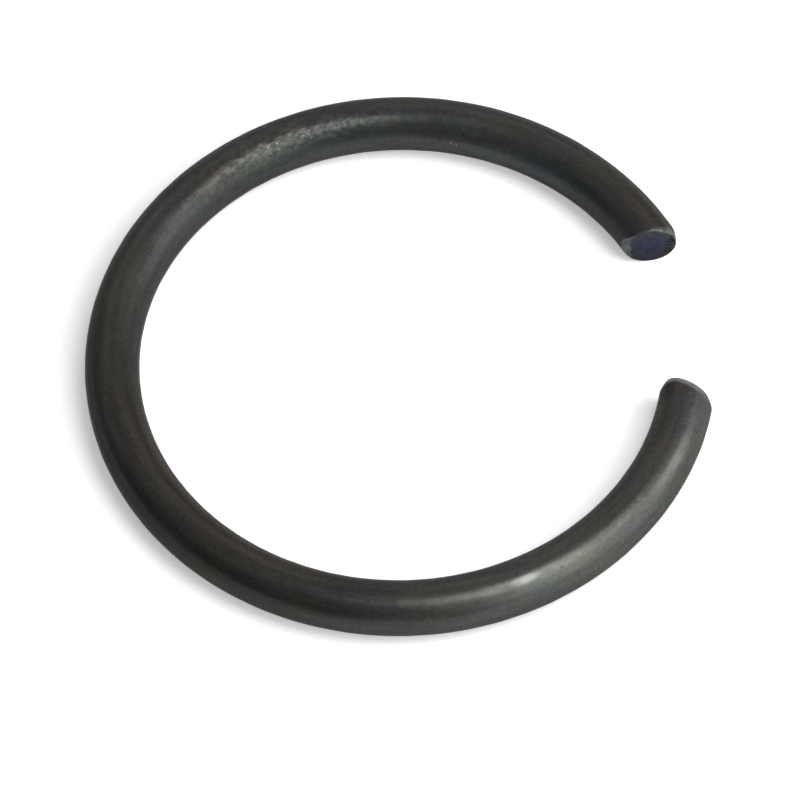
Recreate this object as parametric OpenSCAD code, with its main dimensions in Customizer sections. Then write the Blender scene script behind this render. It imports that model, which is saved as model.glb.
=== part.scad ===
// Round-wire retaining ring: one length of spring wire, coiled to a C and cropped at both ends.
// The ring lies flat. Its centre is the origin, its axis is Z, and the middle of its gap is on +X.

/* [Wire] */
// Diameter of the round spring wire
wire_d = 4; // [2:0.1:6]

/* [Free ring] */
// Inside diameter of the ring before it is sprung into its groove
free_inner_d = 38; // [28:0.5:80]
// Angle of the gap between the middles of the two cropped ends
gap_angle = 36.8; // [28:0.1:60]

/* [Cropped ends] */
// Angle of both crops away from square, seen along the ring's axis
crop_skew = 21; // [5:1:30]
// Radius of the bend where the blade pressed the wire's skin in
roll_r = 2.8; // [2:0.1:4]
// Angle at which that bend leaves the wire's skin
roll_leaves = 10; // [8:1:20]
// Distance from the middle of the crop, along the wire, at which that bend starts
roll_back = 0.3; // [0:0.05:0.5]
// Width of the strip that tore off at a slant, on the side where the blade came out
tear_w = 0.6; // [0.3:0.02:0.9]
// Angle of that strip away from the crop
tear_angle = 22; // [10:1:40]

/* [Hidden] */
$fn = 96;

wire_r = wire_d / 2;
// Radius of the circle that the middle of the wire follows
ring_r = (free_inner_d + wire_d) / 2;

// A skewed crop leaves an oval face, and the torn strip starts at this distance from its middle
face_half = wire_r / cos(crop_skew);
tear_start = face_half - tear_w;

// Middle of the arc that the skin bends to, from the wire's middle line and from the crop's middle
roll_mid_r = wire_r - roll_r * cos(roll_leaves);
roll_mid_z = -roll_back - roll_r * sin(roll_leaves);

// Wire left past the middle of each crop, so that the longest fibre is cropped too
crop_allowance = 0.3;
spare = wire_r * tan(crop_skew) + crop_allowance;
spare_angle = atan(spare / (free_inner_d / 2));
// The waste takes in all the spare wire beyond the crop
waste_r = wire_d + spare;
waste_h = 2 * spare + crop_allowance;

// Coiled wire before cropping, from one side of the gap round to the other
module coiled_wire() {
    first = gap_angle / 2 - spare_angle;
    rotate([0, 0, first])
        rotate_extrude(angle = 360 - 2 * first)
            translate([ring_r, 0])
                circle(d = wire_d);
}

// All that lies above a flat cut through the middle
module above_cut() {
    translate([-waste_r, -waste_r, 0])
        cube([2 * waste_r, 2 * waste_r, waste_h]);
}

// Half section of what the pressed-in skin leaves free: X from the wire's middle line, Y out of the metal
module roll_profile() {
    difference() {
        translate([0, -roll_back])
            square([waste_r, waste_h + roll_back]);
        translate([roll_mid_r, roll_mid_z])
            circle(r = roll_r);
    }
}

// What one crop takes off, with the blade going in on the -X side and the waste on +Z
module crop_waste() {
    rotate([0, crop_skew, 0]) {
        above_cut();
        translate([tear_start, 0, 0])
            rotate([0, tear_angle, 0])
                translate([waste_r, 0, 0])
                    above_cut();
    }
    rotate_extrude()
        roll_profile();
}

// Puts its children on the wire at an angle round the ring, with Z along the wire there
module on_wire(angle) {
    rotate([0, 0, angle])
        translate([ring_r, 0, 0])
            rotate([-90, 0, 0])
                children();
}

// Both crops are parallel to the wire's slant, as one blade parts each ring from the next in a coil:
// it goes in on the inside of the one end and on the outside of the other
module retaining_ring() {
    color([0.19, 0.19, 0.18])
        difference() {
            coiled_wire();
            on_wire(-gap_angle / 2)
                crop_waste();
            on_wire(gap_angle / 2)
                rotate([0, 180, 0])
                    crop_waste();
        }
}

retaining_ring();
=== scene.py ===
import math

import bpy
import numpy as np
from mathutils import Matrix, Vector


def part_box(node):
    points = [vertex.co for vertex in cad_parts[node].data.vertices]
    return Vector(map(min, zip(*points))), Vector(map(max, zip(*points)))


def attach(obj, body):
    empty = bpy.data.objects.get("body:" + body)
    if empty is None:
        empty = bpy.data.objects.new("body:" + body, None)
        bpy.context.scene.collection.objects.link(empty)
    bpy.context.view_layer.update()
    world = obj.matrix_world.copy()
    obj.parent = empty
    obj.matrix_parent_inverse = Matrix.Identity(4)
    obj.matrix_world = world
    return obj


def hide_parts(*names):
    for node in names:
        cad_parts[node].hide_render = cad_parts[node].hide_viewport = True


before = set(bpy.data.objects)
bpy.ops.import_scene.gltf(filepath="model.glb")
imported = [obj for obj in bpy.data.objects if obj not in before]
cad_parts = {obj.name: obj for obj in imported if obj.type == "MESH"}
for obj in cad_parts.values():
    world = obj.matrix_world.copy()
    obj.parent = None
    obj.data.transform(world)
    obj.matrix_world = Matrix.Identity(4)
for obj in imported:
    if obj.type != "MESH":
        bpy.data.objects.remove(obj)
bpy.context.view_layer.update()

# The view that the photograph was taken from.
# The ring lies flat and is seen from above its front edge, through a long lens from about 0.4 m away.
# All angles are in degrees; turning is measured round the ring's axis from the -Y side.
view_turning = -8.3
view_elevation = 57.07
view_roll = -1.40
view_distance = 0.4105
view_lens = 253.7
sensor_width = 36.0
# Where the picture's middle falls, from the ring's middle, to the right and up as the camera sees it
aim_right = -0.00004
aim_up = -0.00297


def photograph_camera():
    """Places the camera: a unit vector from the ring to the lens sets the view, and the camera looks at
    a point beside the ring's middle, so that the ring falls where the photograph has it."""
    turning, elevation, roll = (math.radians(a) for a in (view_turning, view_elevation, view_roll))
    back = Vector((
        math.sin(turning) * math.cos(elevation),
        -math.cos(turning) * math.cos(elevation),
        math.sin(elevation),
    ))
    level = Vector((math.cos(turning), math.sin(turning), 0.0))
    steep = back.cross(level)
    right = level * math.cos(roll) + steep * math.sin(roll)
    up = steep * math.cos(roll) - level * math.sin(roll)
    lens_at = back * view_distance
    aim = right * aim_right + up * aim_up
    look_back = (lens_at - aim).normalized()
    look_right = up.cross(look_back).normalized()
    look_up = look_back.cross(look_right)
    data = bpy.data.cameras.new("photograph_camera")
    data.lens = view_lens
    data.sensor_width = sensor_width
    data.sensor_fit = "HORIZONTAL"
    data.clip_start = 0.01
    data.clip_end = 20.0
    camera = bpy.data.objects.new("photograph_camera", data)
    turned = Matrix((look_right, look_up, look_back)).transposed().to_4x4()
    camera.matrix_world = Matrix.Translation(lens_at) @ turned
    bpy.context.scene.collection.objects.link(camera)
    bpy.context.scene.camera = camera


photograph_camera()

# The retaining ring: one length of blackened spring wire, 4 mm thick, coiled to an open C.
# It was parted from its coil by one blade, which cropped both ends askew: it pressed the skin in on
# the side where it went in, and a strip tore off at a slant on the side where it came out.
ring_low, ring_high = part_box("retaining_ring")
wire_radius = (ring_high.z - ring_low.z) / 2
ring_radius = -ring_low.x - wire_radius
mm = 0.001
# Coiling leaves the wire uneven by this much, in metres, in three waves: how many of each run round the
# ring and round the wire, and where it starts, in radians
coiling_wave = 0.009 * mm
coiling_waves = ((23, 2, 0.7), (41, -3, 2.1), (67, 1, 4.0))
# The gap between the middles of the crops and the skew of both from square
half_gap = math.radians(36.8 / 2)
crop_skew = math.radians(21.0)
# The bend of the pressed-in skin: its radius, how it leaves the wire, and how far back it starts
roll_radius = 2.8 * mm
roll_leaves = math.radians(10.0)
roll_back = 0.3 * mm
# The torn strip: its width from the cut's far edge and its slant
tear_width = 0.6 * mm
tear_slant = math.radians(22.0)
tear_start = wire_radius / math.cos(crop_skew) - tear_width

# The grid: quads along the wire, from each rim to the middle of its face, and round the wire
rows_along = 440
rows_on_face = 34
columns_round = 180
# The rows along the wire close up to this share of their usual step at each crop, over this many rows
crowded_step = 0.09
rows_crowded = 14.0
# Each end: the ring angle of its middle, and which way it leaves the metal round the ring
crops = ((half_gap, -1), (2 * math.pi - half_gap, 1))
# A point belongs to a crop within this cosine of its angle; its fibre is cropped within this swing of it,
# and the place is found by this many halvings
near_a_crop = 0.9
crop_swing = math.radians(12.0)
halvings = 50


def wire_axes(angle, leaves):
    """Middle and axes of the wire at a crop: X to the side where the blade came out, Z out of the metal."""
    outward = np.array([math.cos(angle), math.sin(angle), 0.0])
    along = np.array([-math.sin(angle), math.cos(angle), 0.0])
    down = np.array([0.0, 0.0, -1.0])
    return outward * ring_radius, np.stack([leaves * outward, down, leaves * along])


def face_axes(angle, leaves):
    """Middle and axes of the cut: the wire's, turned about Y by the skew."""
    middle, (x, y, z) = wire_axes(angle, leaves)
    lean, stand = math.sin(crop_skew), math.cos(crop_skew)
    return middle, np.stack([x * stand - z * lean, y, z * stand + x * lean])


def rolled_radius(past):
    """Radius of the wire at a distance past the middle of a crop: its own, until the pressed-in skin's
    arc leaves it, and then that arc's."""
    middle_radius = wire_radius - roll_radius * math.cos(roll_leaves)
    middle_past = -roll_back - roll_radius * math.sin(roll_leaves)
    rise = np.clip(past - middle_past, 0, roll_radius)
    arc = middle_radius + np.sqrt(roll_radius**2 - rise**2)
    return np.where(past > -roll_back, arc, wire_radius)


def wire_skin(turn, round_angle):
    """Point of the wire's skin: a circle of the wire's radius, less the waves that coiling left, carried
    round the ring's circle. The waves are three sines of the turn and the angle round the wire. Past
    each crop's middle the circle shrinks as the pressed-in skin does."""
    waves = sum(
        np.sin(round_ring * turn + round_wire * round_angle + phase)
        for round_ring, round_wire, phase in coiling_waves
    )
    radius = wire_radius + coiling_wave * (waves / len(coiling_waves) - 1)
    fibre = ring_radius + wire_radius * np.cos(round_angle)
    for angle, leaves in crops:
        near = np.cos(turn - angle) > near_a_crop
        past = np.where(near, leaves * fibre * np.sin(turn - angle), -wire_radius)
        radius = np.minimum(radius, rolled_radius(past))
    reach = ring_radius + radius * np.cos(round_angle)
    return np.stack([reach * np.cos(turn), reach * np.sin(turn), radius * np.sin(round_angle)], axis=-1)


def torn_depth(face_x):
    """Depth of the end below the cut: nothing as far as the torn strip, then its slant."""
    return np.maximum(face_x - tear_start, 0.0) * math.tan(tear_slant)


def crop_turn(angle, leaves, round_angle):
    """Ring angle at which each fibre of the wire meets the cropped end, found by halving."""
    middle, axes = face_axes(angle, leaves)
    inside = np.full_like(round_angle, angle - leaves * crop_swing)
    outside = np.full_like(round_angle, angle + leaves * crop_swing)
    for _ in range(halvings):
        half = (inside + outside) / 2
        local = (wire_skin(half, round_angle) - middle) @ axes.T
        beyond = local[:, 2] > -torn_depth(local[:, 0])
        outside = np.where(beyond, half, outside)
        inside = np.where(beyond, inside, half)
    return inside


def cropped_end(angle, leaves, round_angle):
    """Grid of a cropped end: each fibre's rim point is carried in straight towards the cut's middle, and
    laid on the cut or the torn strip below it. Each point also gets its distance inside the rim and
    its distance past the start of the torn strip."""
    middle, axes = face_axes(angle, leaves)
    rim = (wire_skin(crop_turn(angle, leaves, round_angle), round_angle) - middle) @ axes.T
    share = (np.arange(1, rows_on_face) / rows_on_face)[:, None]
    face_x, face_y = rim[:, 0] * (1 - share), rim[:, 1] * (1 - share)
    local = np.stack([face_x, face_y, -torn_depth(face_x)], axis=-1)
    inside = share * np.hypot(rim[:, 0], rim[:, 1])
    return local @ axes + middle, inside, face_x - tear_start, middle


def ring_grid():
    """The whole skin as rows of points: from the middle of one end face, over its rim, along the wire
    and over the other end. The two end rows shrink to one point each."""
    round_angle = np.linspace(0, 2 * math.pi, columns_round, endpoint=False)
    start, stop = (crop_turn(*crop, round_angle) for crop in crops)
    row = np.arange(rows_along)
    crowding = np.exp(-row / rows_crowded) + np.exp(-row[::-1] / rows_crowded)
    share = np.cumsum(1 - (1 - crowded_step) * crowding)
    share = np.concatenate([[0], share / share[-1]])[:, None]
    turn = start * (1 - share) + stop * share
    from_rim = ring_radius * np.minimum(turn - start, stop - turn)
    start_rows, start_inside, start_torn, start_middle = cropped_end(*crops[0], round_angle)
    stop_rows, stop_inside, stop_torn, stop_middle = cropped_end(*crops[1], round_angle)
    rows = np.concatenate([start_rows[::-1], wire_skin(turn, round_angle[None, :]), stop_rows])
    from_rim = np.concatenate([-start_inside[::-1], from_rim, -stop_inside])
    torn = np.concatenate([start_torn[::-1], 0 * turn, stop_torn])
    return rows, from_rim, torn, np.stack([start_middle, stop_middle])


def straightened(points):
    """Place of each point in the wire before it was coiled: along it, outwards and up, in millimetres."""
    turn = np.arctan2(points[:, 1], points[:, 0]) % (2 * math.pi)
    outward = np.hypot(points[:, 0], points[:, 1]) - ring_radius
    return np.stack([ring_radius * turn, outward, points[:, 2]], axis=-1) / mm


def ring_mesh():
    """Joins the grid's rows with quads and each end's last row to its middle with triangles, and keeps
    on each point what the finish follows: its place in the straight wire, how far it is from the rim
    of a cropped end, how far past the start of the torn strip, and how deep the skin is pressed in.
    The first material is the skin's and the second the cropped faces'."""
    rows, from_rim, torn, middles = ring_grid()
    count, around = rows.shape[:2]
    points = np.concatenate([rows.reshape(-1, 3), middles])
    index = np.arange(count * around).reshape(count, around)
    step = np.roll(index, -1, axis=1)
    quads = np.stack([index[:-1], index[1:], step[1:], step[:-1]], axis=-1).reshape(-1, 4)
    start_fan = np.stack([np.full(around, count * around), index[0], step[0]], axis=-1)
    stop_fan = np.stack([np.full(around, count * around + 1), step[-1], index[-1]], axis=-1)
    mesh = bpy.data.meshes.new("spring_wire_ring")
    mesh.from_pydata(points.tolist(), [], quads.tolist() + start_fan.tolist() + stop_fan.tolist())
    mesh.update()
    mesh.shade_smooth()
    on_face = np.zeros(len(mesh.polygons), dtype=np.int32)
    rows_of_face = rows_on_face - 1
    on_face[:rows_of_face * around] = 1
    on_face[(count - 1 - rows_of_face) * around:] = 1
    mesh.polygons.foreach_set("material_index", on_face)
    place = straightened(points)
    wire_place = mesh.attributes.new("wire_place", "FLOAT_VECTOR", "POINT")
    wire_place.data.foreach_set("vector", place.ravel())
    pressed_in = wire_radius / mm - np.hypot(place[:, 1], place[:, 2])
    from_rim = np.append(from_rim.ravel(), [from_rim.min()] * 2) / mm
    past_tear = np.append(torn.ravel(), [-tear_start] * 2) / mm
    for name, values in (("from_rim", from_rim), ("past_tear", past_tear), ("pressed_in", pressed_in)):
        mesh.attributes.new(name, "FLOAT", "POINT").data.foreach_set("value", values)
    return mesh


wire_ring = bpy.data.objects.new("spring_wire_ring", ring_mesh())
bpy.context.scene.collection.objects.link(wire_ring)


def add_node(tree, kind, inputs, **fields):
    """Adds a shader node with its own fields set, and gives each input a value or another node's output."""
    node = tree.nodes.new(kind)
    for field, value in fields.items():
        setattr(node, field, value)
    for socket, value in inputs.items():
        if isinstance(value, bpy.types.NodeSocket):
            tree.links.new(value, node.inputs[socket])
        else:
            node.inputs[socket].default_value = value
    return node


def calculated(tree, operation, first, second=0.0, third=0.0):
    """One step of arithmetic on two or three values or outputs."""
    inputs = {0: first, 1: second, 2: third}
    return add_node(tree, "ShaderNodeMath", inputs, operation=operation).outputs[0]


def faded(tree, value, nothing_at, full_at):
    """A mask that rises smoothly from 0 to 1 as a value goes from one level to another."""
    inputs = {"Value": value, "From Min": nothing_at, "From Max": full_at}
    return add_node(tree, "ShaderNodeMapRange", inputs, interpolation_type="SMOOTHSTEP").outputs["Result"]


def blended(tree, mask, under, over, way="MIX"):
    """One colour laid over another where the mask is 1."""
    return add_node(
        tree, "ShaderNodeMix", {0: mask, 6: under, 7: over}, data_type="RGBA", blend_type=way,
    ).outputs[2]


def stretched(tree, place, by, shift=(0.0, 0.0, 0.0)):
    """The place on the wire, scaled along it, outwards and up, and then shifted."""
    return add_node(
        tree, "ShaderNodeVectorMath", {0: place, 1: by, 2: shift}, operation="MULTIPLY_ADD",
    ).outputs["Vector"]


def cloud(tree, place, scale, detail=2.0):
    """Soft noise between 0 and 1, mostly near a half."""
    inputs = {"Vector": place, "Scale": scale, "Detail": detail}
    return add_node(tree, "ShaderNodeTexNoise", inputs).outputs["Fac"]


def new_group(name, inputs, outputs):
    """An empty shader node group, and its inputs; each socket is given as its name and its kind."""
    group = bpy.data.node_groups.new(name, "ShaderNodeTree")
    for side, sockets in (("INPUT", inputs), ("OUTPUT", outputs)):
        for socket, kind in sockets.items():
            group.interface.new_socket(socket, in_out=side, socket_type="NodeSocket" + kind)
    return group, add_node(group, "NodeGroupInput", {}).outputs


def steel_grain():
    """Relief of drawn and coiled steel, in millimetres: dimples of the given size and depth, and faint
    lines along the wire. Grain is the same pattern between 0 and 1."""
    inputs = {"Place": "Vector", "Dimples": "Float", "Depth": "Float", "Line Depth": "Float"}
    group, given = new_group("steel_grain", inputs, {"Height": "Float", "Grain": "Float"})
    # Dimples are a little longer along the wire, and their relief is part soft noise, part rounded cells
    dimple_stretch = (0.7, 1.0, 1.0)
    soft_share, cell_share = 0.6, 0.5
    cells_per_dimple = 0.8
    # Lines are drawn out along the wire, and there are this many to a millimetre across it
    line_stretch = (0.06, 1.0, 1.0)
    lines_per_mm = 5.0
    scale = calculated(group, "DIVIDE", 1.0, given["Dimples"])
    along = stretched(group, given["Place"], dimple_stretch)
    soft = cloud(group, along, scale, 2.5)
    cell_scale = calculated(group, "MULTIPLY", scale, cells_per_dimple)
    cells = add_node(
        group, "ShaderNodeTexVoronoi", {"Vector": along, "Scale": cell_scale, "Smoothness": 0.6},
        feature="SMOOTH_F1",
    ).outputs["Distance"]
    soft_part = calculated(group, "MULTIPLY", soft, soft_share)
    cell_part = calculated(group, "MULTIPLY", cells, cell_share)
    relief = calculated(group, "MULTIPLY", calculated(group, "ADD", soft_part, cell_part), given["Depth"])
    lines = cloud(group, stretched(group, given["Place"], line_stretch), lines_per_mm, 3.0)
    drawn = calculated(group, "MULTIPLY", lines, given["Line Depth"])
    add_node(group, "NodeGroupOutput", {"Height": calculated(group, "ADD", relief, drawn), "Grain": soft})
    return group


# What oxide and oil do to the steel's colour in small clouds all over: a tint, and the size of its
# clouds in millimetres
oxide_tints = (
    ("olive", (1.03, 1.04, 0.88), 2.6),
    ("teal", (0.90, 1.00, 0.98), 3.4),
    ("brown", (1.08, 0.98, 0.95), 2.3),
    ("navy", (0.96, 0.97, 1.08), 3.0),
)
# The clouds are longer along the wire, each tint's are shifted by this step from the last one's, in
# millimetres, and they fade in between these levels of the noise
tint_stretch = (0.6, 1.0, 1.0)
tint_step = 31.0
tint_fade = (0.48, 0.66)


def oxide_colours():
    """The steel's colour with soft clouds of each tint laid over it, as strong as asked."""
    inputs = {"Place": "Vector", "Steel": "Color", "Strength": "Float"}
    group, given = new_group("oxide_colours", inputs, {"Color": "Color"})
    colour = given["Steel"]
    for number, (_, tint, size) in enumerate(oxide_tints):
        place = stretched(group, given["Place"], tint_stretch, (tint_step * number, 17.0, 5.0))
        mask = faded(group, cloud(group, place, 1.0 / size, 3.0), *tint_fade)
        mask = calculated(group, "MULTIPLY", mask, given["Strength"])
        colour = blended(group, mask, colour, (*tint, 1.0), "MULTIPLY")
    add_node(group, "NodeGroupOutput", {"Color": colour})
    return group


def small_spots():
    """Small ragged spots: cells of the given size, bent out of round by soft noise, of which only the
    given share is marked."""
    inputs = {"Place": "Vector", "Size": "Float", "Share": "Float"}
    group, given = new_group("small_spots", inputs, {"Mask": "Float"})
    scale = calculated(group, "DIVIDE", 1.0, given["Size"])
    bend = add_node(
        group, "ShaderNodeTexNoise", {"Vector": given["Place"], "Scale": scale, "Detail": 1.0},
    ).outputs["Color"]
    bend = add_node(group, "ShaderNodeVectorMath", {0: bend, "Scale": given["Size"]}, operation="SCALE")
    bent = add_node(group, "ShaderNodeVectorMath", {0: given["Place"], 1: bend.outputs[0]}, operation="ADD")
    cells = add_node(
        group, "ShaderNodeTexVoronoi", {"Vector": bent.outputs[0], "Scale": scale},
    ).outputs
    picked = add_node(group, "ShaderNodeSeparateColor", {"Color": cells["Color"]}).outputs["Red"]
    marked = calculated(group, "LESS_THAN", picked, given["Share"])
    spot_edge = (0.42, 0.22)
    mask = calculated(group, "MULTIPLY", marked, faded(group, cells["Distance"], *spot_edge))
    add_node(group, "NodeGroupOutput", {"Mask": mask})
    return group


def soft_patch():
    """A mask that is 1 at one spot of the wire and fades to nothing at the given reach along the wire,
    outwards and up."""
    inputs = {"Place": "Vector", "Middle": "Vector", "Reach": "Vector"}
    group, given = new_group("soft_patch", inputs, {"Mask": "Float"})
    away = given["Place"]
    for operation, other in (("SUBTRACT", given["Middle"]), ("DIVIDE", given["Reach"])):
        away = add_node(group, "ShaderNodeVectorMath", {0: away, 1: other}, operation=operation).outputs[0]
    distance = add_node(group, "ShaderNodeVectorMath", {0: away}, operation="LENGTH").outputs["Value"]
    add_node(group, "NodeGroupOutput", {"Mask": faded(group, distance, 1.0, 0.2)})
    return group


grain_group = steel_grain()
colour_group = oxide_colours()
spot_group = small_spots()
patch_group = soft_patch()


def grouped(tree, group, inputs):
    """Places a node group and gives its outputs."""
    return add_node(tree, "ShaderNodeGroup", inputs, node_tree=group).outputs


def on_point(tree, name):
    """An attribute that the mesh carries on its points."""
    node = add_node(tree, "ShaderNodeAttribute", {}, attribute_name=name)
    return node.outputs["Vector" if name == "wire_place" else "Fac"]


def patch(tree, place, turn, round_angle, along, across):
    """Soft patch on the wire's skin. Its middle is given by its angle round the ring and its angle round
    the wire from the outside up, in degrees, and its reach along and across the wire in millimetres."""
    turn, round_angle = math.radians(turn), math.radians(round_angle)
    radius = wire_radius / mm
    middle = (ring_radius / mm * turn, radius * math.cos(round_angle), radius * math.sin(round_angle))
    inputs = {"Place": place, "Middle": middle, "Reach": (along, across, across)}
    return grouped(tree, patch_group, inputs)["Mask"]


def patches(tree, place, spots):
    """The strongest, at each point, of several soft patches; the last number of each is its strength."""
    mask = 0.0
    for *spot, strength in spots:
        weighted = calculated(tree, "MULTIPLY", patch(tree, place, *spot), strength)
        mask = calculated(tree, "MAXIMUM", weighted, mask)
    return mask


# Colours of the steel: oiled oxide; the same pressed and rubbed thin, lighter also as painted highlights;
# bare, also laid on the rims as a painted highlight; and dark as painted shade at the bottom of a pit
oxide_grey = (0.0590, 0.0593, 0.0566, 1.0)
pressed_and_highlight_grey = (0.165, 0.169, 0.155, 1.0)
rubbed_and_highlight_grey = (0.15, 0.154, 0.145, 1.0)
bare_and_highlight_grey = (0.30, 0.30, 0.29, 1.0)
pit_shade_grey = (0.022, 0.022, 0.021, 1.0)
# Where the colour is tinted, painted darker as shade or painted lighter as highlights: angles round the ring
# and round the wire of the middle of each place, its reach along and across the wire, and what it does to
# the colour
tint_and_painted_light_places = (
    # Painted shade on the outer side at the far left, and on the inner side at the back below the ridge's
    # highlight, there with a blue tint
    ("painted shade, outside on the far left", (205.0, 40.0, 22.0, 3.4), (0.86, 0.86, 0.85)),
    ("painted shade with a blue tint, inside at the back", (118.0, 142.0, 17.0, 2.0), (0.80, 0.84, 0.88)),
    ("blue, inside on the right", (45.0, 150.0, 20.0, 2.4), (0.95, 1.00, 1.10)),
    ("green, inside at the back", (88.0, 125.0, 13.0, 2.0), (0.93, 1.02, 1.02)),
    ("olive, on top at the left", (165.0, 90.0, 9.0, 1.9), (1.06, 1.07, 0.92)),
    ("brown, inside at the left", (215.0, 125.0, 20.0, 2.6), (1.14, 1.01, 0.90)),
    # Lighter on top at the right; the rest of these are painted highlights where the lamps catch the wire:
    # at the back, on the left, in front and at the lower end
    ("lighter, on top at the right", (50.0, 80.0, 20.0, 2.4), (1.16, 1.16, 1.16)),
    ("painted highlight, outside at the back", (105.0, 55.0, 18.0, 2.2), (1.20, 1.20, 1.18)),
    ("painted highlight, on the ridge at the back", (108.0, 106.0, 15.0, 1.1), (1.27, 1.21, 1.18)),
    ("painted highlight, at the left", (148.0, 75.0, 9.0, 2.6), (1.22, 1.23, 1.20)),
    ("painted highlight, inside in front", (287.0, 105.0, 12.5, 2.4), (1.34, 1.37, 1.32)),
    ("painted highlight, outside in front", (308.0, 20.0, 24.0, 3.0), (1.30, 1.31, 1.27)),
    ("painted highlight, inside at the lower end", (334.0, 115.0, 15.0, 2.8), (1.30, 1.30, 1.29)),
    ("painted highlight, outside at the lower end", (337.0, 20.0, 6.0, 2.6), (1.30, 1.31, 1.27)),
    # Painted shade low on the outer side, at the left and at the back left
    ("painted shade, low outside at the left", (222.0, 33.0, 22.0, 1.3), (0.68, 0.68, 0.67)),
    ("painted shade, low outside at the back left", (165.0, 37.0, 15.0, 1.6), (0.70, 0.70, 0.69)),
    ("brown, on top at the upper end", (26.0, 78.0, 6.0, 1.3), (1.13, 1.03, 0.98)),
    ("brown, on top at the lower end", (332.0, 112.0, 9.0, 1.5), (1.08, 1.00, 0.94)),
    # Darker at the inner corner of the lower end; then painted shade low on the inner side, towards the
    # floor
    ("darker, inner corner of the lower end", (341.0, 140.0, 2.4, 1.2), (0.74, 0.74, 0.74)),
    ("painted shade, low inside at the left", (198.0, 160.0, 22.0, 1.1), (0.76, 0.76, 0.76)),
    ("painted shade, low inside on the right", (30.0, 155.0, 12.0, 1.2), (0.82, 0.82, 0.82)),
    ("painted shade, low inside at the lower end", (332.0, 158.0, 9.0, 1.2), (0.80, 0.80, 0.80)),
)

# Places that took wear, each with its middle and its reach: the ridge that coiling battered, and the lower
# end's rim, worn bright and painted lighter as the highlight along it
battered_ridge = (106.0, 112.0, 13.0, 1.5)
worn_rim_and_highlight = (341.5, 105.0, 3.0, 2.8)
# The same with a strength: what handling rubbed smooth, painted lighter there as the glint in front and as
# the highlights near it and on the lower arm, and the shares of spots that are chips and pits
rubbed_and_highlight_places = (
    (284.6, 71.0, 1.7, 0.52, 1.0),
    (286.0, 72.0, 7.0, 1.0, 0.22),
    (324.5, 58.0, 4.2, 0.55, 0.70),
)
chipped_places = (
    (107.0, 120.0, 1.5, 0.6, 0.40),
    (101.5, 117.0, 1.8, 0.5, 0.40),
    (70.5, 168.0, 1.2, 0.7, 0.45),
    (21.0, 25.0, 2.4, 1.7, 0.40),
)
pitted_places = (
    (341.0, 140.0, 2.4, 1.6, 0.35),
    (21.0, 40.0, 3.0, 1.9, 0.35),
    (71.5, 166.0, 1.5, 0.8, 0.35),
)
# Relief of the skin, in millimetres: the size and depth of each kind of mark, and what battering adds
dimple_size, dimple_depth, battered_depth = 0.30, 0.006, 0.040
grit_size, grit_depth = 0.13, 0.0018
line_depth, battered_lines = 0.0015, 0.010
pit_size, pit_depth = 0.26, 0.01
chip_size = 0.25
# Share of spots that are pits all over the skin
stray_pits = 0.015
# How strong the tints are, and how dark the oxide gets in specks, in drawn lines and in blotches on the
# battered ridge, which are partly uneven oxide and partly painted to break up the ridge's highlight
tint_strength = 0.6
darkest_speck, darkest_line, darkest_oxide_and_highlight_blotch = 0.87, 0.84, 0.60
# Where marks fade in, in millimetres: by how deep the skin is pressed in, and by how near the rim is
pressed_fade = (0.01, 0.16)
rim_fade = (0.14, 0.02)
worn_and_highlight_fade = (0.50, 0.25)
# Roughness between the grain's low and high places, what rubbing takes off it and battering adds
smoothest, roughest = 0.27, 0.41
rubbed_smoother, battered_rougher = 0.12, 0.03
# Share of the skin that shines as metal does, through the oxide and the oil on it
metal_share = 0.6


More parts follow.
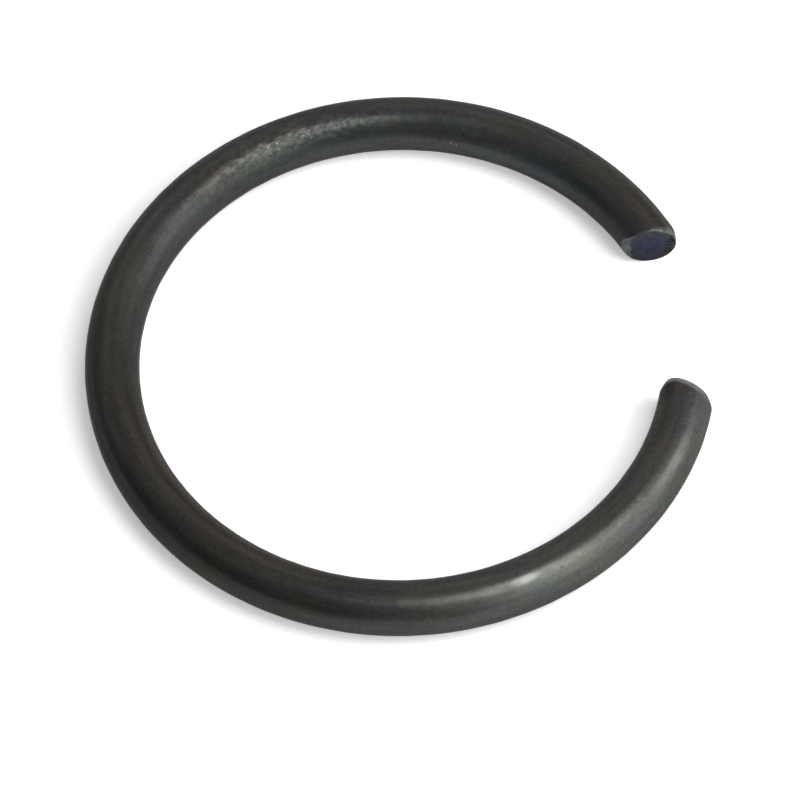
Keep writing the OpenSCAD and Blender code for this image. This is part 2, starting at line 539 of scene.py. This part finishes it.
def black_oxide_steel():
    """The skin: drawn spring steel, blackened and oiled, with dimples from coiling, pits, chipped specks
    and places that handling has smoothed by rubbing; painted highlights and painted shade are laid over its
    colour in patches, on its rims and bends, and in its pits."""
    material = bpy.data.materials.new("black_oxide_steel")
    material.use_nodes = True
    tree = material.node_tree
    place = on_point(tree, "wire_place")
    battered = patch(tree, place, *battered_ridge)
    dimples = grouped(tree, grain_group, {
        "Place": place, "Dimples": dimple_size,
        "Depth": calculated(tree, "MULTIPLY_ADD", battered, battered_depth, dimple_depth),
        "Line Depth": calculated(tree, "MULTIPLY_ADD", battered, battered_lines, line_depth),
    })
    grit = grouped(tree, grain_group, {
        "Place": place, "Dimples": grit_size, "Depth": grit_depth, "Line Depth": 0.0,
    })

    oxide = {"Place": place, "Steel": oxide_grey, "Strength": tint_strength}
    colour = grouped(tree, colour_group, oxide)["Color"]
    # Each place lays its tint, its painted shade or its painted highlight over the colour
    for _, spot, tint in tint_and_painted_light_places:
        colour = blended(tree, patch(tree, place, *spot), colour, blended(
            tree, 1.0, colour, (*tint, 1.0), "MULTIPLY",
        ))
    speckle = cloud(tree, place, 4.0, 2.0)
    drawn = cloud(tree, stretched(tree, place, (0.10, 1.0, 1.0)), 1.6, 3.0)
    # Blotches for the battered ridge: partly uneven oxide, partly painted light and dark to break up its
    # highlight
    ragged = cloud(tree, stretched(tree, place, (0.7, 1.0, 1.0)), 2.8, 2.0)
    for pattern, darkest, where in (
        (speckle, darkest_speck, 1.0), (drawn, darkest_line, 1.0), (ragged, darkest_oxide_and_highlight_blotch, battered),
    ):
        darkest, lightest = ((value, value, value, 1.0) for value in (darkest, 2.0 - darkest))
        shading = blended(tree, faded(tree, pattern, 0.25, 0.75), darkest, lightest)
        colour = blended(tree, where, colour, blended(tree, 1.0, colour, shading, "MULTIPLY"))

    streaks = cloud(tree, stretched(tree, place, (0.3, 1.0, 1.0)), 3.0, 3.0)
    streaks = faded(tree, streaks, 0.15, 0.55)
    # Smoothed by rubbing, and painted lighter as the glint in front, the highlight round it and the
    # highlight on the lower arm
    rubbed_and_highlight = patches(tree, place, rubbed_and_highlight_places)
    rubbed_and_highlight = calculated(tree, "MULTIPLY", rubbed_and_highlight, streaks)
    # The pressed-in bend at each crop: lighter where the blade rubbed it, and as a painted highlight of the
    # bend
    pressed = faded(tree, on_point(tree, "pressed_in"), *pressed_fade)
    pressed = calculated(tree, "MULTIPLY", pressed, faded(tree, cloud(tree, place, 2.4, 3.0), 0.2, 0.55))
    chipped = patches(tree, place, chipped_places)
    chips = grouped(tree, spot_group, {"Place": place, "Size": chip_size, "Share": chipped})["Mask"]
    # Pits: dents in the relief, their bottoms painted dark as shade
    pitted = calculated(tree, "MAXIMUM", patches(tree, place, pitted_places), stray_pits)
    pits = grouped(tree, spot_group, {"Place": place, "Size": pit_size, "Share": pitted})["Mask"]
    from_rim = on_point(tree, "from_rim")
    # Bare steel along the rims of the crops: partly wear at the edge, partly a painted highlight along it
    rim = faded(tree, from_rim, *rim_fade)
    rim = calculated(tree, "MULTIPLY", rim, faded(tree, cloud(tree, place, 1.2, 3.0), 0.46, 0.64))
    # The lower end's rim: worn bare, and painted lighter as the highlight that runs along it
    worn_and_highlight = calculated(tree, "MULTIPLY", faded(tree, from_rim, *worn_and_highlight_fade), patch(tree, place, *worn_rim_and_highlight))
    # Pits dark as painted shade; the pressed-in bends, rubbed places, worn rim and rims lighter, partly as
    # wear and partly as painted highlights; chips of bare steel
    for mask, strength, laid in (
        (pits, 0.5, pit_shade_grey), (pressed, 1.0, pressed_and_highlight_grey), (rubbed_and_highlight, 1.0, rubbed_and_highlight_grey),
        (worn_and_highlight, 0.9, bare_and_highlight_grey), (rim, 0.42, bare_and_highlight_grey), (chips, 0.4, bare_and_highlight_grey),
    ):
        colour = blended(tree, calculated(tree, "MULTIPLY", mask, strength), colour, laid)

    roughness = add_node(
        tree, "ShaderNodeMapRange", {"Value": dimples["Grain"], "To Min": smoothest, "To Max": roughest},
    ).outputs["Result"]
    smoother = calculated(tree, "MULTIPLY", rubbed_and_highlight, rubbed_smoother)
    roughness = calculated(tree, "SUBTRACT", roughness, smoother)
    roughness = calculated(tree, "MULTIPLY_ADD", battered, battered_rougher, roughness)
    metallic = calculated(tree, "MAXIMUM", calculated(tree, "MAXIMUM", rim, chips), metal_share)
    height = calculated(tree, "ADD", dimples["Height"], grit["Height"])
    height = calculated(tree, "SUBTRACT", height, calculated(tree, "MULTIPLY", pits, pit_depth))
    relief = add_node(tree, "ShaderNodeBump", {"Height": height, "Strength": 1.0, "Distance": mm})

    shader = tree.nodes["Principled BSDF"]
    shader.inputs["IOR"].default_value = 1.25
    shader.inputs["Specular Tint"].default_value = (0.18, 0.18, 0.18, 1.0)
    tree.links.new(colour, shader.inputs["Base Color"])
    tree.links.new(roughness, shader.inputs["Roughness"])
    tree.links.new(metallic, shader.inputs["Metallic"])
    tree.links.new(relief.outputs["Normal"], shader.inputs["Normal"])
    return material


# Colours of a cut face: heat oxide, duller where it is thin, torn steel, also laid on the rim as a painted
# highlight, and the bottom of a mark, dark as painted shade
cropped_navy = (0.044, 0.045, 0.082, 1.0)
cropped_grey = (0.050, 0.052, 0.066, 1.0)
torn_and_highlight_grey = (0.130, 0.136, 0.130, 1.0)
mark_shade_grey = (0.015, 0.015, 0.022, 1.0)
# What the height on the wire does to those colours, at the bottom and at the top of the face
bottom_shade = (0.80, 0.82, 0.72, 1.0)
top_shade = (1.14, 1.15, 1.12, 1.0)
# Heights in millimetres over which the face lightens, the chatter ends and the painted highlight on the rim
# comes in
lightens = (-1.7, 1.3)
chatter_ends = (1.2, 0.7)
rim_highlight_heights = (-1.2, 0.6)
# Distances in millimetres over which a cut's marks fade in: those from the rim, where inside is below
# zero, and those past the start of the torn strip
greyed_fade = (-0.8, 0.5)
rim_highlight_fade = (-0.22, -0.03)
blade_entry_fade = (-2.25, -2.7)
torn_fade = (-0.05, 0.12)
# How far the edges of the blue middle and of the torn strip wander, and how deep the chatter is
blue_wanders = 1.6
torn_wanders = 0.5
chatter_depth = 0.04


def cropped_steel():
    """The cut faces: blue heat oxide that greys towards the rim, with chatter where the blade went in, its
    marks painted dark as shade, a lighter torn strip where it came out, and a painted highlight along the
    upper part of the rim."""
    material = bpy.data.materials.new("cropped_steel")
    material.use_nodes = True
    tree = material.node_tree
    place = on_point(tree, "wire_place")
    past_tear = on_point(tree, "past_tear")
    inside_rim = on_point(tree, "from_rim")
    grain = grouped(tree, grain_group, {"Place": place, "Dimples": 0.3, "Depth": 0.03, "Line Depth": 0.0})
    unevenly = calculated(tree, "MULTIPLY", cloud(tree, place, 1.1, 3.0), blue_wanders)
    greyed = faded(tree, calculated(tree, "ADD", inside_rim, unevenly), *greyed_fade)
    colour = blended(tree, greyed, cropped_navy, cropped_grey)
    clouds = faded(tree, cloud(tree, place, 2.0, 3.0), 0.3, 0.7)
    shading = blended(tree, clouds, (0.86, 0.86, 0.86, 1.0), (1.14, 1.14, 1.14, 1.0))
    colour = blended(tree, 1.0, colour, shading, "MULTIPLY")
    height = add_node(tree, "ShaderNodeSeparateXYZ", {"Vector": place}).outputs["Z"]
    shading = blended(tree, faded(tree, height, *lightens), bottom_shade, top_shade)
    colour = blended(tree, 1.0, colour, shading, "MULTIPLY")

    # Chatter is drawn in curls, where the noise is near its middle value
    curls = calculated(tree, "ABSOLUTE", calculated(tree, "SUBTRACT", cloud(tree, place, 1.7, 2.0), 0.5))
    marks = faded(tree, curls, 0.04, 0.012)
    marks = calculated(tree, "MULTIPLY", marks, faded(tree, past_tear, *blade_entry_fade))
    marks = calculated(tree, "MULTIPLY", marks, faded(tree, height, *chatter_ends))
    # The chatter's marks, their bottoms painted dark as shade
    colour = blended(tree, marks, colour, mark_shade_grey)

    uneven = calculated(tree, "SUBTRACT", cloud(tree, place, 2.5), 0.5)
    uneven = calculated(tree, "MULTIPLY", uneven, torn_wanders)
    torn = faded(tree, calculated(tree, "ADD", past_tear, uneven), *torn_fade)
    blotches = faded(tree, cloud(tree, place, 2.6, 3.0), 0.62, 0.44)
    torn_colour = blended(tree, calculated(tree, "MULTIPLY", blotches, 0.55), torn_and_highlight_grey, cropped_grey)
    colour = blended(tree, torn, colour, torn_colour)

    # A painted highlight along the rim, in the torn steel's colour, coming in towards the top of the face
    rim = faded(tree, inside_rim, *rim_highlight_fade)
    rim = calculated(tree, "MULTIPLY", rim, faded(tree, cloud(tree, place, 0.8, 2.0), 0.34, 0.56))
    rim = calculated(tree, "MULTIPLY", rim, faded(tree, height, *rim_highlight_heights))
    colour = blended(tree, calculated(tree, "MULTIPLY", rim, 0.75), colour, torn_and_highlight_grey)
    depth = calculated(tree, "SUBTRACT", grain["Height"], calculated(tree, "MULTIPLY", marks, chatter_depth))
    relief = add_node(tree, "ShaderNodeBump", {"Height": depth, "Strength": 1.0, "Distance": mm})

    shader = tree.nodes["Principled BSDF"]
    shader.inputs["Metallic"].default_value = 0.9
    shader.inputs["Roughness"].default_value = 0.5
    shader.inputs["IOR"].default_value = 1.3
    shader.inputs["Specular Tint"].default_value = (0.25, 0.25, 0.25, 1.0)
    tree.links.new(colour, shader.inputs["Base Color"])
    tree.links.new(relief.outputs["Normal"], shader.inputs["Normal"])
    return material


wire_ring.data.materials.append(black_oxide_steel())
wire_ring.data.materials.append(cropped_steel())
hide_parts("retaining_ring")
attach(wire_ring, "root")

# The floor that the ring lies on: a wide white sheet that turns up all round at its far edge.
# It lies at the height of the wire's underside. Distances are in metres.
floor_flat = 2.5
floor_bend = 1.0
floor_bend_turn = math.radians(50.0)
floor_white = (0.88, 0.88, 0.88, 1.0)
# Radii of the flat part's rings of faces, how many sides each has, and how many rings the bend has
floor_rings = (0.1, 0.5, 1.5)
floor_sides = 96
bend_rings = 17
# Light that the sheet adds of its own to what the lens and the steel see, near the ring and far off,
# and the distances where the one ends and the other begins
floor_glow_near = 0.4
floor_glow_far = 0.85
near_ends = 0.05
far_begins = 1.2


def pale_floor():
    """A surface of revolution: flat to a radius, then an arc that leaves it smoothly and turns upwards."""
    turn = np.linspace(0, 2 * math.pi, floor_sides, endpoint=False)
    bend = np.linspace(0, floor_bend_turn, bend_rings)
    reach = np.concatenate([floor_rings, floor_flat + floor_bend * np.sin(bend)])[:, None]
    rise = np.concatenate([np.zeros(len(floor_rings)), floor_bend * (1 - np.cos(bend))])[:, None]
    rows = np.stack([reach * np.cos(turn), reach * np.sin(turn), ring_low.z + rise + 0 * turn], axis=-1)
    points = np.concatenate([rows.reshape(-1, 3), [[0, 0, ring_low.z]]])
    index = np.arange(rows.shape[0] * len(turn)).reshape(rows.shape[0], len(turn))
    step = np.roll(index, -1, axis=1)
    quads = np.stack([index[:-1], index[1:], step[1:], step[:-1]], axis=-1).reshape(-1, 4)
    fan = np.stack([np.full(len(turn), len(points) - 1), index[0], step[0]], axis=-1)
    mesh = bpy.data.meshes.new("floor")
    mesh.from_pydata(points.tolist(), [], quads.tolist() + fan.tolist())
    mesh.shade_smooth()
    return mesh


def white_sheet():
    """Matt white, with a glow that only the lens, gloss and glass see, so that it shows white all over
    and still takes the ring's shadow."""
    material = bpy.data.materials.new("floor_white")
    material.use_nodes = True
    tree = material.node_tree
    tree.nodes.remove(tree.nodes["Principled BSDF"])
    matt = add_node(tree, "ShaderNodeBsdfDiffuse", {"Color": floor_white})
    path = add_node(tree, "ShaderNodeLightPath", {}).outputs
    seen = calculated(tree, "MAXIMUM", path["Is Camera Ray"], path["Is Glossy Ray"])
    seen = calculated(tree, "MAXIMUM", seen, path["Is Transmission Ray"])
    place = add_node(tree, "ShaderNodeTexCoord", {}).outputs["Object"]
    distance = add_node(tree, "ShaderNodeVectorMath", {0: place}, operation="LENGTH").outputs["Value"]
    glow = add_node(tree, "ShaderNodeMapRange", {
        "Value": distance, "From Min": near_ends, "From Max": far_begins,
        "To Min": floor_glow_near, "To Max": floor_glow_far,
    }).outputs["Result"]
    shine = add_node(tree, "ShaderNodeEmission", {"Strength": calculated(tree, "MULTIPLY", seen, glow)})
    both = add_node(tree, "ShaderNodeAddShader", {0: matt.outputs["BSDF"], 1: shine.outputs["Emission"]})
    tree.links.new(both.outputs["Shader"], tree.nodes["Material Output"].inputs["Surface"])
    return material


floor = bpy.data.objects.new("floor", pale_floor())
bpy.context.scene.collection.objects.link(floor)
floor.data.materials.append(white_sheet())

# The light: a soft lamp high on the right, a large dimmer panel below it, a faint one at the back, and a
# dim even room. Each lamp has its direction in degrees, round the ring's axis from +X and up from the
# floor, then its distance, width and height in metres, and how bright its face is, where 1 is white.
lamps = (
    ("high_lamp", -31.7, 67.8, 0.7, 0.39, 0.40, 5.8),
    ("side_panel", -32.9, 32.8, 0.8, 1.04, 0.74, 2.65),
    ("back_panel", 105.0, 35.0, 0.9, 1.5, 0.7, 0.45),
)
room_level = 0.06


def soft_lamp(name, turning, elevation, distance, width, height, level):
    """A flat lamp that faces the ring. Its power is its face's level times pi times its area."""
    turning, elevation = math.radians(turning), math.radians(elevation)
    back = Vector((
        math.cos(elevation) * math.cos(turning),
        math.cos(elevation) * math.sin(turning),
        math.sin(elevation),
    ))
    data = bpy.data.lights.new(name, "AREA")
    data.shape = "RECTANGLE"
    data.size = width
    data.size_y = height
    data.energy = level * math.pi * width * height
    lamp = bpy.data.objects.new(name, data)
    right = Vector((-math.sin(turning), math.cos(turning), 0.0))
    turned = Matrix((right, back.cross(right), back)).transposed().to_4x4()
    lamp.matrix_world = Matrix.Translation(back * distance) @ turned
    bpy.context.scene.collection.objects.link(lamp)


for lamp in lamps:
    soft_lamp(*lamp)

world = bpy.data.worlds.new("studio")
bpy.context.scene.world = world
world.use_nodes = True
world.node_tree.nodes["Background"].inputs["Color"].default_value = (1.0, 1.0, 1.0, 1.0)
world.node_tree.nodes["Background"].inputs["Strength"].default_value = room_level

bpy.context.scene.view_settings.view_transform = "Standard"
